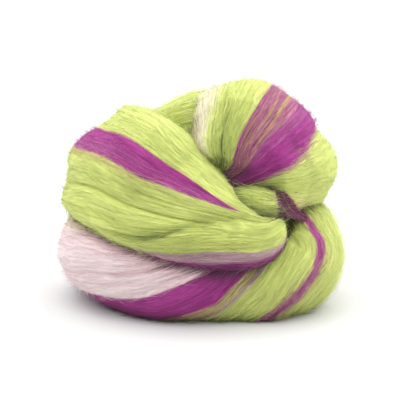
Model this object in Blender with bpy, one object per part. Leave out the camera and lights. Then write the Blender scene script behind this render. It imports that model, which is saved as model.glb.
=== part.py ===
"""A ball of combed wool roving: one long strip of loose fibre, wound over itself into a soft knot.

Every pass of the strip is a loft along a path. The tables below give each path station by station
in millimetres; the solid is built in metres, +Z up, resting on z = 0 with the front towards -Y.
"""

import math

import bmesh
import bpy
import numpy as np

MM = 0.001

# Stations of a pass, in mm. x, y, z: a point on the pass's middle line. wide: across the strip.
# rise: from the middle line outwards. deep: from the middle line inwards. A width of 0 ends the pass.
COLUMNS = ("x", "y", "z", "wide", "rise", "deep")

# Leaves the throat on the right, crosses the front to the left and goes round the back.
FRONT_BAND = [
    (33, -14, 42, 0, 0, 0),
    (31, -26, 41, 25, 8, 8),
    (23, -32, 40, 31, 10, 10),
    (11, -32, 42.5, 38, 12.5, 12),
    (-2, -28, 47.5, 47, 15.5, 13),
    (-15, -22, 54, 55, 18, 14),
    (-27, -14, 61, 59, 20, 14),
    (-36, -2, 63, 62, 19.5, 15),
    (-39, 11, 62, 61, 19.5, 15),
    (-33, 26, 59, 56, 19, 14),
    (-16, 36, 55, 52, 17, 14),
    (6, 38, 49, 46, 15, 12),
    (26, 31, 44, 38, 13, 12),
    (40, 15, 42, 28, 11, 10),
    (44, 2, 40, 0, 0, 0),
]
# Leaves the throat downwards, rounds the right side and runs along the foot of the ball to the back.
LOWER_BAND = [
    (34, -5, 52, 0, 0, 0),
    (42, -6, 45, 26, 11, 7),
    (47, -9, 33.5, 40, 16.5, 7),
    (44.5, -15, 22, 44, 19, 5),
    (28, -20, 17, 46, 19, 8),
    (6, -23, 16, 42, 18, 12),
    (-16, -22, 16.5, 42, 18, 14),
    (-36, -14, 20, 44, 19, 12),
    (-46, 4, 23, 46, 20, 12),
    (-38, 24, 24, 46, 19, 12),
    (-16, 36, 22, 44, 17, 14),
    (8, 37, 21, 36, 12, 12),
    (24, 30, 22, 0, 0, 0),
]
# Takes over from the lower band at the back and closes the foot on the right.
FOOT_BAND = [
    (-16, 28, 21, 0, 0, 0),
    (-2, 35, 21, 38, 15, 12),
    (14, 36, 21, 44, 17.5, 14),
    (33, 27, 22, 42, 17, 12),
    (46, 11, 23, 38, 16, 12),
    (46, -6, 22, 0, 0, 0),
]
# Swells out of the pit like an apple round its stalk, goes over the top and down the back.
TOP_LOBE = [
    (13, -22, 61, 0, 0, 0),
    (14, -22, 61.5, 24, 12, 12),
    (16, -18, 63.5, 49, 24.5, 24),
    (20, -10, 65, 66, 33, 30),
    (23.5, 1, 66.5, 77, 37.5, 28),
    (24.5, 13, 66, 73, 35.5, 22),
    (21, 25, 61, 62, 27.5, 16),
    (14, 34, 50, 48, 19, 12),
    (4, 38, 36, 36, 13, 10),
    (-4, 34, 24, 0, 0, 0),
]
# Crosses the top behind the front band and slips under the top lobe.
BACK_BAND = [
    (-30, 22, 60, 0, 0, 0),
    (-18, 17, 70, 34, 14, 11),
    (-5, 13, 78, 38, 16.5, 13),
    (7, 12, 81.5, 36, 16, 14),
    (20, 10, 80, 28, 13, 12),
    (30, 10, 74, 0, 0, 0),
]
# The short turn of strip in the throat, between the front band and the top lobe.
THROAT_TURN = [
    (6, -17, 50, 0, 0, 0),
    (13, -26, 51, 20, 7.5, 7),
    (22, -29, 50, 24, 9, 8),
    (29, -25, 48, 24, 9, 8),
    (32, -14, 46, 18, 7, 7),
    (32, -4, 44, 0, 0, 0),
]
# Crosses underneath, inside the ring of the lower and foot bands.
UNDER_TURN = [
    (-42, 6, 22, 0, 0, 0),
    (-27, 6, 16, 44, 13, 12),
    (0, 6, 14, 54, 13, 14),
    (27, 6, 16, 46, 13, 12),
    (42, 6, 22, 0, 0, 0),
]

# For each pass: its stations, the point it is wound round (mm), its fullness (2 is an ellipse, more
# is squarer), and how many rings a station and how many sides a ring it is lofted with.
PASSES = {
    "front_band": (FRONT_BAND, (0, 0, 34), 2.0, 3, 36),
    "lower_band": (LOWER_BAND, (0, 0, 18), 2.2, 5, 36),
    "foot_band": (FOOT_BAND, (0, 0, 18), 2.2, 3, 32),
    "top_lobe": (TOP_LOBE, (0, 0, 20), 2.0, 4, 40),
    "back_band": (BACK_BAND, (0, 0, 20), 2.1, 4, 28),
    "throat_turn": (THROAT_TURN, (19, 0, 46), 2.1, 3, 20),
    "under_turn": (UNDER_TURN, (0, 6, 60), 2.2, 3, 24),
}

# Turns of twist in the lower band at its stations, so that its ridges lie on a slant.
LOWER_TWIST = (0, 0, 0.02, 0.10, 0.28, 0.47, 0.56, 0.64, 0.72, 0.77, 0.80, 0.83, 0.85)

# Soft folds along a pass. start, end: stations. place: turns round the section at either end, 0 at
# the upper edge and 0.25 facing out. spread: turns. height: mm, a ridge above 0 and a trough below.
FOLD_COLUMNS = ("pass", "start", "end", "place_start", "place_end", "spread", "height")
FOLDS = [
    ("top_lobe", 1, 8, 0.21, 0.22, 0.09, -4.0),
    ("top_lobe", 3, 6, 0.14, 0.14, 0.03, -2.6),
    ("top_lobe", 3, 6, 0.38, 0.38, 0.04, -1.5),
    ("top_lobe", 1.5, 6, 0.87, 0.88, 0.04, -1.6),
    ("top_lobe", 1.5, 3, 0.05, 0.05, 0.04, -1.2),
    ("top_lobe", 3, 6, 0.07, 0.06, 0.035, 1.6),
    ("front_band", 5, 10, 0.15, 0.14, 0.07, -1.8),
    ("front_band", 6, 10, 0.12, 0.11, 0.035, 2.8),
    ("front_band", 6, 10, 0.285, 0.28, 0.05, 2.6),
    ("front_band", 3.5, 7.5, 0.27, 0.36, 0.035, -2.0),
    ("front_band", 2.5, 5.5, 0.18, 0.285, 0.022, -1.2),
    ("front_band", 2.5, 5.5, 0.26, 0.44, 0.045, 1.8),
    ("front_band", 6, 12, 0.42, 0.40, 0.05, 2.0),
    ("lower_band", 1.5, 9, 0.06, 0.06, 0.04, 1.2),
    ("lower_band", 1.5, 9, 0.95, 0.95, 0.04, -1.1),
    ("lower_band", 3, 11, 0.85, 0.85, 0.05, -1.3),
    ("lower_band", 4, 5.6, 0.74, 0.74, 0.05, 1.2),
    ("lower_band", 6.7, 8.6, 0.735, 0.73, 0.065, -2.8),
    ("lower_band", 6, 11, 0.54, 0.54, 0.06, 1.2),
    ("back_band", 1, 4, 0.20, 0.20, 0.06, -1.5),
]
FOLD_RAMP = 0.6  # stations over which a fold fades in and out
THIN_STRIP = 30.0  # mm: on a strip narrower than this the folds are shallower in proportion

CORE_CENTRE = (0, 8, 43)  # mm: the packed fibre inside, which the passes are wound over
CORE_SIZE = (92, 62, 73)
FOOT_BLOCK = (300, 300, 20)  # mm: the block cut away under the ball, which leaves its flat resting spot

# The tables are centred on the winding. The finished ball is moved so that its footprint is instead.
FOOTPRINT_MIDDLE = (-0.8, 4.9, 0)  # mm

LIME = (0.55, 0.68, 0.12, 1.0)


def columns_at(rows, place):
    """The table's columns and their slopes at a station number between two rows, on a smooth curve."""
    table = np.array(rows, float)
    padded = np.vstack([2 * table[0] - table[1], table, 2 * table[-1] - table[-2]])
    i = min(int(place), len(table) - 2)
    f = place - i
    a, b, c, d = padded[i : i + 4]
    square = 2 * a - 5 * b + 4 * c - d
    cube = 3 * b - a - 3 * c + d
    value = b + 0.5 * ((c - a) * f + square * f**2 + cube * f**3)
    slope = 0.5 * (c - a) + square * f + 1.5 * cube * f**2
    return value, slope


def fold_height(name, station, place):
    """Millimetres that the folds add at this place round the section."""
    total = 0.0
    for row in FOLDS:
        fold = dict(zip(FOLD_COLUMNS, row))
        if fold["pass"] != name:
            continue
        share = (station - fold["start"]) / (fold["end"] - fold["start"])
        share = min(max(share, 0.0), 1.0)
        middle = fold["place_start"] + (fold["place_end"] - fold["place_start"]) * share
        away = (place - middle + 0.5) % 1.0 - 0.5
        rise = min(max((station - fold["start"]) / FOLD_RAMP + 1, 0.0), 1.0)
        fall = min(max((fold["end"] - station) / FOLD_RAMP + 1, 0.0), 1.0)
        total += fold["height"] * rise * fall * math.exp(-((away / fold["spread"]) ** 2))
    return total


def unit(vector):
    return vector / max(np.linalg.norm(vector), 1e-9)


def point_on_pass(name, station, place):
    """The point in mm at this station, place turns round the section along the strip's own fibres."""
    rows, wound_round, fullness, _, _ = PASSES[name]
    value, slope = columns_at(rows, station)
    at = dict(zip(COLUMNS, value))
    wide, rise, deep = (max(at[key], 0.0) for key in ("wide", "rise", "deep"))
    along = unit(slope[:3])
    outwards = value[:3] - np.array(wound_round, float)
    outwards = unit(outwards - outwards.dot(along) * along)
    across = np.cross(along, outwards)
    twist = np.interp(station, range(len(LOWER_TWIST)), LOWER_TWIST) if name == "lower_band" else 0.0
    fold = fold_height(name, station, place) * min(wide / THIN_STRIP, 1.0)
    angle = 2 * math.pi * (place + twist)
    cosine, sine = math.cos(angle), math.sin(angle)
    x = math.copysign(abs(cosine) ** (2 / fullness), cosine) * (0.5 * wide + fold)
    y = math.copysign(abs(sine) ** (2 / fullness), sine) * ((rise if sine > 0 else deep) + fold)
    return value[:3] + x * across + y * outwards


def object_from(bm, name, collection):
    """The closed bmesh as an object in its place. Its faces are flat triangles, which Booleans need."""
    bmesh.ops.translate(bm, vec=[-middle * MM for middle in FOOTPRINT_MIDDLE], verts=bm.verts)
    bmesh.ops.triangulate(bm, faces=bm.faces)
    bmesh.ops.recalc_face_normals(bm, faces=bm.faces)
    mesh = bpy.data.meshes.new(name)
    bm.to_mesh(mesh)
    bm.free()
    mesh.shade_smooth()
    made = bpy.data.objects.new(name, mesh)
    collection.objects.link(made)
    return made


def add_pass(name, collection):
    """A grid wrapped round the pass: x runs along the strip and y round its section."""
    rows, _, _, rings, sides = PASSES[name]
    bm = bmesh.new()
    bmesh.ops.create_grid(bm, x_segments=rings * (len(rows) - 1), y_segments=sides, size=0.5)
    for vertex in bm.verts:
        station = (vertex.co.x + 0.5) * (len(rows) - 1)
        vertex.co = point_on_pass(name, station, vertex.co.y + 0.5) * MM
    bmesh.ops.remove_doubles(bm, verts=bm.verts, dist=0.01 * MM)
    return object_from(bm, name, collection)


def add_core(collection):
    bm = bmesh.new()
    bmesh.ops.create_uvsphere(bm, u_segments=28, v_segments=16, radius=0.5)
    bmesh.ops.scale(bm, vec=[size * MM for size in CORE_SIZE], verts=bm.verts)
    bmesh.ops.translate(bm, vec=[place * MM for place in CORE_CENTRE], verts=bm.verts)
    return object_from(bm, "core", collection)


def add_foot_cutter(collection):
    """A block whose top is the surface that the ball rests on."""
    bm = bmesh.new()
    bmesh.ops.create_cube(bm, size=1.0)
    bmesh.ops.scale(bm, vec=[side * MM for side in FOOT_BLOCK], verts=bm.verts)
    bmesh.ops.translate(bm, vec=(0, 0, -0.5 * FOOT_BLOCK[2] * MM), verts=bm.verts)
    return object_from(bm, "foot_cutter", collection)


def as_helper(shape):
    shape.hide_render = True
    shape.display_type = "WIRE"


def combine(target, other, operation):
    boolean = target.modifiers.new(f"{operation.lower()}_{other.name}", "BOOLEAN")
    boolean.operation = operation
    boolean.solver = "EXACT"
    boolean.object = other
    as_helper(other)


def wool(name, colour):
    material = bpy.data.materials.new(name)
    material.use_nodes = True
    shader = material.node_tree.nodes["Principled BSDF"]
    shader.inputs["Base Color"].default_value = colour
    shader.inputs["Roughness"].default_value = 0.85
    shader.inputs["Metallic"].default_value = 0.0
    return material


def new_collection(name):
    collection = bpy.data.collections.new(name)
    bpy.context.scene.collection.children.link(collection)
    return collection


def main():
    for old in list(bpy.data.objects):
        bpy.data.objects.remove(old, do_unlink=True)
    parts = new_collection("wool_roving")
    helpers = new_collection("helpers")

    ball = add_core(parts)
    ball.name = "roving_ball"
    ball.data.name = "roving_ball"
    for name in PASSES:
        combine(ball, add_pass(name, helpers), "UNION")
    combine(ball, add_foot_cutter(helpers), "DIFFERENCE")
    ball.data.materials.append(wool("lime_wool", LIME))


main()
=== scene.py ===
# %% [markdown]
# # A ball of combed wool roving
# Roving, or combed top, is wool before spinning: thousands of loose fibres lying side by side in one
# long, soft strip. This one is dyed in lengthwise stripes and wound over itself into a ball. The frame
# holds the ball as one plain solid. This script dresses it: fine passes of strip, their dyes, and
# the fibres themselves.

# %% Load the frame
import math

import bmesh
import bpy
import numpy as np
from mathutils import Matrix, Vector
from mathutils.bvhtree import BVHTree


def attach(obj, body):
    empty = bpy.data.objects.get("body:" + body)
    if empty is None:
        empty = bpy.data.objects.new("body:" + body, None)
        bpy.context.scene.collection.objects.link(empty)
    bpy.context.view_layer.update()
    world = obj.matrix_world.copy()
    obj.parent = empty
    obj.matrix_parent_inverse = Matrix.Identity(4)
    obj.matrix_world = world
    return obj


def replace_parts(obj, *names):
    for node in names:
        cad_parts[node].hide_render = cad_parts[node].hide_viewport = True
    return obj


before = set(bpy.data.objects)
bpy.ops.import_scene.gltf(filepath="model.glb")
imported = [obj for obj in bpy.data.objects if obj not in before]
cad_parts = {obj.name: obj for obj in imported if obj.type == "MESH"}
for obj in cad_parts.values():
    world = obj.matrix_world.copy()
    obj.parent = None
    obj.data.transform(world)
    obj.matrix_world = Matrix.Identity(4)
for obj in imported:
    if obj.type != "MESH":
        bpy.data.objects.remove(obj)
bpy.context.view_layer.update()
MM = 0.001

# %% [markdown]
# ## The way the strip is wound
# The ball has seven passes of the strip. Each is a loft along a path, and these are the tables that the
# solid was made from, so every pass here lies in its own place in the frame. A loft suits a soft strip
# better than a sculpted blob, because it gives each point two numbers, how far along and how far round,
# and the fibres, dyes and folds can all follow those.

# %% The passes
# Stations in mm. x, y, z: the middle line. wide: across. rise: outwards from it. deep: inwards from it.
FRONT_BAND = [
    (33, -14, 42, 0, 0, 0),
    (31, -26, 41, 25, 8, 8),
    (23, -32, 40, 31, 10, 10),
    (11, -32, 42.5, 38, 12.5, 12),
    (-2, -28, 47.5, 47, 15.5, 13),
    (-15, -22, 54, 55, 18, 14),
    (-27, -14, 61, 59, 20, 14),
    (-36, -2, 63, 62, 19.5, 15),
    (-39, 11, 62, 61, 19.5, 15),
    (-33, 26, 59, 56, 19, 14),
    (-16, 36, 55, 52, 17, 14),
    (6, 38, 49, 46, 15, 12),
    (26, 31, 44, 38, 13, 12),
    (40, 15, 42, 28, 11, 10),
    (44, 2, 40, 0, 0, 0),
]
LOWER_BAND = [
    (34, -5, 52, 0, 0, 0),
    (42, -6, 45, 26, 11, 7),
    (47, -9, 33.5, 40, 16.5, 7),
    (44.5, -15, 22, 44, 19, 5),
    (28, -20, 17, 46, 19, 8),
    (6, -23, 16, 42, 18, 12),
    (-16, -22, 16.5, 42, 18, 14),
    (-36, -14, 20, 44, 19, 12),
    (-46, 4, 23, 46, 20, 12),
    (-38, 24, 24, 46, 19, 12),
    (-16, 36, 22, 44, 17, 14),
    (8, 37, 21, 36, 12, 12),
    (24, 30, 22, 0, 0, 0),
]
FOOT_BAND = [
    (-16, 28, 21, 0, 0, 0),
    (-2, 35, 21, 38, 15, 12),
    (14, 36, 21, 44, 17.5, 14),
    (33, 27, 22, 42, 17, 12),
    (46, 11, 23, 38, 16, 12),
    (46, -6, 22, 0, 0, 0),
]
TOP_LOBE = [
    (13, -22, 61, 0, 0, 0),
    (14, -22, 61.5, 24, 12, 12),
    (16, -18, 63.5, 49, 24.5, 24),
    (20, -10, 65, 66, 33, 30),
    (23.5, 1, 66.5, 77, 37.5, 28),
    (24.5, 13, 66, 73, 35.5, 22),
    (21, 25, 61, 62, 27.5, 16),
    (14, 34, 50, 48, 19, 12),
    (4, 38, 36, 36, 13, 10),
    (-4, 34, 24, 0, 0, 0),
]
BACK_BAND = [
    (-30, 22, 60, 0, 0, 0),
    (-18, 17, 70, 34, 14, 11),
    (-5, 13, 78, 38, 16.5, 13),
    (7, 12, 81.5, 36, 16, 14),
    (20, 10, 80, 28, 13, 12),
    (30, 10, 74, 0, 0, 0),
]
THROAT_TURN = [
    (6, -17, 50, 0, 0, 0),
    (13, -26, 51, 20, 7.5, 7),
    (22, -29, 50, 24, 9, 8),
    (29, -25, 48, 24, 9, 8),
    (32, -14, 46, 18, 7, 7),
    (32, -4, 44, 0, 0, 0),
]
UNDER_TURN = [
    (-42, 6, 22, 0, 0, 0),
    (-27, 6, 16, 44, 13, 12),
    (0, 6, 14, 54, 13, 14),
    (27, 6, 16, 46, 13, 12),
    (42, 6, 22, 0, 0, 0),
]
# For each pass: stations, the point it is wound round, its fullness, and its rings a station and sides.
PASSES = {
    "front_band": (FRONT_BAND, (0, 0, 34), 2.0, 8, 210),
    "lower_band": (LOWER_BAND, (0, 0, 18), 2.2, 9, 200),
    "foot_band": (FOOT_BAND, (0, 0, 18), 2.2, 8, 120),
    "top_lobe": (TOP_LOBE, (0, 0, 20), 2.0, 7, 240),
    "back_band": (BACK_BAND, (0, 0, 20), 2.1, 7, 120),
    "throat_turn": (THROAT_TURN, (19, 0, 46), 2.1, 7, 90),
    "under_turn": (UNDER_TURN, (0, 6, 60), 2.2, 5, 60),
}
LOWER_TWIST = (0, 0, 0.02, 0.10, 0.28, 0.47, 0.56, 0.64, 0.72, 0.77, 0.80, 0.83, 0.85)  # turns
FOOTPRINT_MIDDLE = np.array((-0.8, 4.9, 0))  # mm: the ball is moved so that this comes to the origin
print("passes:", ", ".join(PASSES))

# %% [markdown]
# ## Folds and bundles
# The soft folds are the solid's own. Between them real roving parts into bundles with fine grooves
# where the fibres drift apart. Those are too fine for the solid, so they are added here: long ridges
# and narrower grooves, scattered by a seeded random generator, which gives the same ball every run.

# %% Folds and bundles
# Pass, first and last station, place at each of them and spread (turns round the section, 0 at the upper
# edge and 0.25 facing out), and height in mm.
FOLDS = [
    ("top_lobe", 1, 8, 0.21, 0.22, 0.09, -4),
    ("top_lobe", 3, 6, 0.14, 0.14, 0.03, -2.6),
    ("top_lobe", 3, 6, 0.38, 0.38, 0.04, -1.5),
    ("top_lobe", 1.5, 6, 0.87, 0.88, 0.04, -1.6),
    ("top_lobe", 1.5, 3, 0.05, 0.05, 0.04, -1.2),
    ("top_lobe", 3, 6, 0.07, 0.06, 0.035, 1.6),
    ("front_band", 5, 10, 0.15, 0.14, 0.07, -1.8),
    ("front_band", 6, 10, 0.12, 0.11, 0.035, 2.8),
    ("front_band", 6, 10, 0.285, 0.28, 0.05, 2.6),
    ("front_band", 3.5, 7.5, 0.27, 0.36, 0.035, -2),
    ("front_band", 2.5, 5.5, 0.18, 0.285, 0.022, -1.2),
    ("front_band", 2.5, 5.5, 0.26, 0.44, 0.045, 1.8),
    ("front_band", 6, 12, 0.42, 0.4, 0.05, 2),
    ("lower_band", 1.5, 9, 0.06, 0.06, 0.04, 1.2),
    ("lower_band", 1.5, 9, 0.95, 0.95, 0.04, -1.1),
    ("lower_band", 3, 11, 0.85, 0.85, 0.05, -1.3),
    ("lower_band", 4, 5.6, 0.74, 0.74, 0.05, 1.2),
    ("lower_band", 6.7, 8.6, 0.735, 0.73, 0.065, -2.8),
    ("lower_band", 6, 11, 0.54, 0.54, 0.06, 1.2),
    ("back_band", 1, 4, 0.2, 0.2, 0.06, -1.5),
]
FOLD_RAMP = 0.6  # stations over which a fold fades in and out
THIN_STRIP = 30.0  # mm: on a narrower strip the relief is shallower in proportion
# How many on a pass, shortest and longest (stations), thinnest and thickest (mm), lowest and highest (mm).
RIDGES = (26, 2.5, 6.0, 1.6, 3.4, 0.15, 0.5)
GROOVES = (40, 2.0, 5.0, 0.4, 0.9, -0.6, -0.15)
BUNDLE_RAMP = 0.8  # stations over which a bundle or groove fades in and out
ROUND_SHARE = 0.8  # the way round a flattened section, as a share of that round a circle as wide


def fold_height(name, station, place):
    """Millimetres that the folds add."""
    total = 0.0
    for which, start, end, place_start, place_end, spread, height in FOLDS:
        if which != name:
            continue
        share = np.clip((station - start) / (end - start), 0, 1)
        middle = place_start + (place_end - place_start) * share
        away = (place - middle + 0.5) % 1 - 0.5
        rise = np.clip((station - start) / FOLD_RAMP + 1, 0, 1)
        fall = np.clip((end - station) / FOLD_RAMP + 1, 0, 1)
        total = total + height * rise * fall * np.exp(-((away / spread) ** 2))
    return total


def widest_girth(name):
    """The way round the pass's widest section in mm."""
    return math.pi * max(row[3] for row in PASSES[name][0]) * ROUND_SHARE


def scatter_bundles(name, seed):
    """Rows of first station, last station, fibre line, spread in turns and height in mm."""
    rng = np.random.default_rng(seed)
    last = len(PASSES[name][0]) - 1
    made = []
    for count, short, long, thin, thick, low, high in (RIDGES, GROOVES):
        start = rng.uniform(-long, last, count)
        length = rng.uniform(short, long, count)
        spread = rng.uniform(thin, thick, count) / widest_girth(name)
        line = rng.random(count)
        height = rng.uniform(low, high, count)
        made.append(np.stack([start, start + length, line, spread, height], axis=1))
    return np.concatenate(made)


# The clearest creases and ridges: pass, first and last station, fibre line, spread and height in mm.
CREASES = [
    ("front_band", 3.4, 7.6, 0.362, 0.8, -1.5),
    ("front_band", 2.3, 5.8, 0.305, 0.7, -1.1),
    ("front_band", 3.9, 5.6, 0.324, 0.6, -0.9),
    ("front_band", 4.2, 6.1, 0.455, 0.8, -1.2),
    ("front_band", 3.3, 5, 0.466, 1.3, 0.8),
    ("front_band", 5.2, 7.8, 0.415, 0.6, -0.8),
    ("top_lobe", 0.8, 3.4, 0.345, 0.7, -1),
    ("top_lobe", 1, 3, 0.235, 0.6, -0.8),
    ("lower_band", 5, 8, 0.6, 0.9, -0.9),
]


def all_bundles(name, seed):
    """The scattered bundles and the named creases of one pass."""
    named = [
        (start, end, line, spread / widest_girth(name), height)
        for which, start, end, line, spread, height in CREASES
        if which == name
    ]
    return np.concatenate([scatter_bundles(name, seed), np.array(named).reshape(-1, 5)])


BUNDLES = {name: all_bundles(name, seed) for seed, name in enumerate(PASSES)}


def bundle_height(name, station, line):
    """Millimetres that the bundles and grooves add on a fibre line."""
    total = 0.0
    for start, end, middle, spread, height in BUNDLES[name]:
        away = (line - middle + 0.5) % 1 - 0.5
        fade = np.clip((station - start) / BUNDLE_RAMP, 0, 1) * np.clip((end - station) / BUNDLE_RAMP, 0, 1)
        total = total + height * fade * np.exp(-((away / spread) ** 2))
    return total


print("bundles and grooves on each pass:", len(BUNDLES["front_band"]))

# %% [markdown]
# ## Fibre lines
# A fibre doesn't keep its share of the width. In the front band the lower fibres leave the throat close
# together and fan out to the left, so a table gives the place of ten fibre lines at seven stations. A
# mesh, a stripe or a fibre that keeps to one line then bends the way the wool does.

# %% From a fibre line to a point
FAN_SMOOTHING = (-0.4, 0, 0.4)  # stations: the fan is an average over these steps
THINNEST = 4  # mm: no section counts as less than this when the way round it is worked out
MEASURED_AT = 400  # points along a middle line, to add up its length
FRONT_LINES = (0.0, 0.13, 0.205, 0.275, 0.305, 0.362, 0.46, 0.49, 0.62, 1.0)  # their places at the left
FRONT_FAN = [  # a station, and the place of each line there
    (1, 0, 0.11, 0.155, 0.165, 0.18, 0.2, 0.235, 0.262, 0.5, 1),
    (2, 0, 0.12, 0.16, 0.167, 0.185, 0.215, 0.25, 0.3, 0.52, 1),
    (3, 0, 0.125, 0.167, 0.177, 0.207, 0.245, 0.275, 0.34, 0.55, 1),
    (4, 0, 0.13, 0.178, 0.214, 0.25, 0.29, 0.34, 0.425, 0.58, 1),
    (5, 0, 0.13, 0.174, 0.238, 0.277, 0.32, 0.41, 0.46, 0.6, 1),
    (6, 0, 0.13, 0.187, 0.264, 0.292, 0.343, 0.45, 0.48, 0.61, 1),
    (7.4, 0, 0.13, 0.205, 0.275, 0.305, 0.362, 0.46, 0.49, 0.62, 1),
]


def unit(vectors):
    """The same directions, each 1 long."""
    return vectors / np.maximum(np.linalg.norm(vectors, axis=-1, keepdims=True), 1e-9)


def place_of(name, station, line):
    """Turns round the section at which a fibre line lies."""
    if name != "front_band":
        return line
    table = np.array(FRONT_FAN)
    places = [
        sum(np.interp(station + step, table[:, 0], column) for step in FAN_SMOOTHING) / len(FAN_SMOOTHING)
        for column in table[:, 1:].T
    ]
    total = 0.0
    for low, high, at_low, at_high in zip(FRONT_LINES, FRONT_LINES[1:], places, places[1:]):
        total = total + np.clip((line % 1 - low) / (high - low), 0, 1) * (at_high - at_low)
    return total


def curve_at(rows, station):
    """The table's columns and their slopes at a station number, on a smooth curve."""
    table = np.array(rows, float)
    padded = np.vstack([2 * table[0] - table[1], table, 2 * table[-1] - table[-2]])
    i = np.clip(np.floor(station).astype(int), 0, len(table) - 2)
    f = (station - i)[..., None]
    a, b, c, d = padded[i], padded[i + 1], padded[i + 2], padded[i + 3]
    square = 2 * a - 5 * b + 4 * c - d
    cube = 3 * b - a - 3 * c + d
    value = b + 0.5 * ((c - a) * f + square * f**2 + cube * f**3)
    return value, 0.5 * (c - a) + square * f + 1.5 * cube * f**2


def on_pass(name, station, line, bundled=True):
    """The point in mm at this station on this fibre line."""
    rows, wound_round, fullness, _, _ = PASSES[name]
    value, slope = curve_at(rows, station)
    wide, rise, deep = (np.maximum(value[..., column], 0) for column in (3, 4, 5))
    along = unit(slope[..., :3])
    outwards = value[..., :3] - np.array(wound_round, float)
    outwards = unit(outwards - (outwards * along).sum(-1, keepdims=True) * along)
    across = np.cross(along, outwards)
    place = place_of(name, station, line)
    relief = fold_height(name, station, place) + (bundle_height(name, station, line) if bundled else 0)
    relief = relief * np.minimum(wide / THIN_STRIP, 1)
    twist = np.interp(station, range(len(LOWER_TWIST)), LOWER_TWIST) if name == "lower_band" else 0.0
    angle = 2 * math.pi * (place + twist)
    cosine, sine = np.cos(angle), np.sin(angle)
    x = np.sign(cosine) * np.abs(cosine) ** (2 / fullness) * (0.5 * wide + relief)
    y = np.sign(sine) * np.abs(sine) ** (2 / fullness) * (np.where(sine > 0, rise, deep) + relief)
    point = value[..., :3] + x[..., None] * across + y[..., None] * outwards - FOOTPRINT_MIDDLE
    point[..., 2] = np.maximum(point[..., 2], 0)
    return point


def girth_at(name, station):
    """The way round the section in mm."""
    value, _ = curve_at(PASSES[name][0], station)
    return math.pi * 0.5 * np.maximum(value[..., 3] + value[..., 4] + value[..., 5], THINNEST)


def length_of(name):
    """The pass's middle line in mm."""
    middle, _ = curve_at(PASSES[name][0], np.linspace(0, len(PASSES[name][0]) - 1, MEASURED_AT))
    return float(np.linalg.norm(np.diff(middle[:, :3], axis=0), axis=1).sum())


print({name: round(length_of(name)) for name in PASSES}, "mm long")

# %% [markdown]
# ## The dyes
# Five tops were blended side by side: lime, magenta, pale pink, a tan where lime and pink mix, and a
# mauve where pink and magenta mix. Lime is the ground. A stripe of another dye is a run of fibre lines,
# with its edges given at a few stations. An edge is as soft as its fibres are mixed there, and a stripe
# with a share under 1 is only scattered through the one below it.

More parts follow.
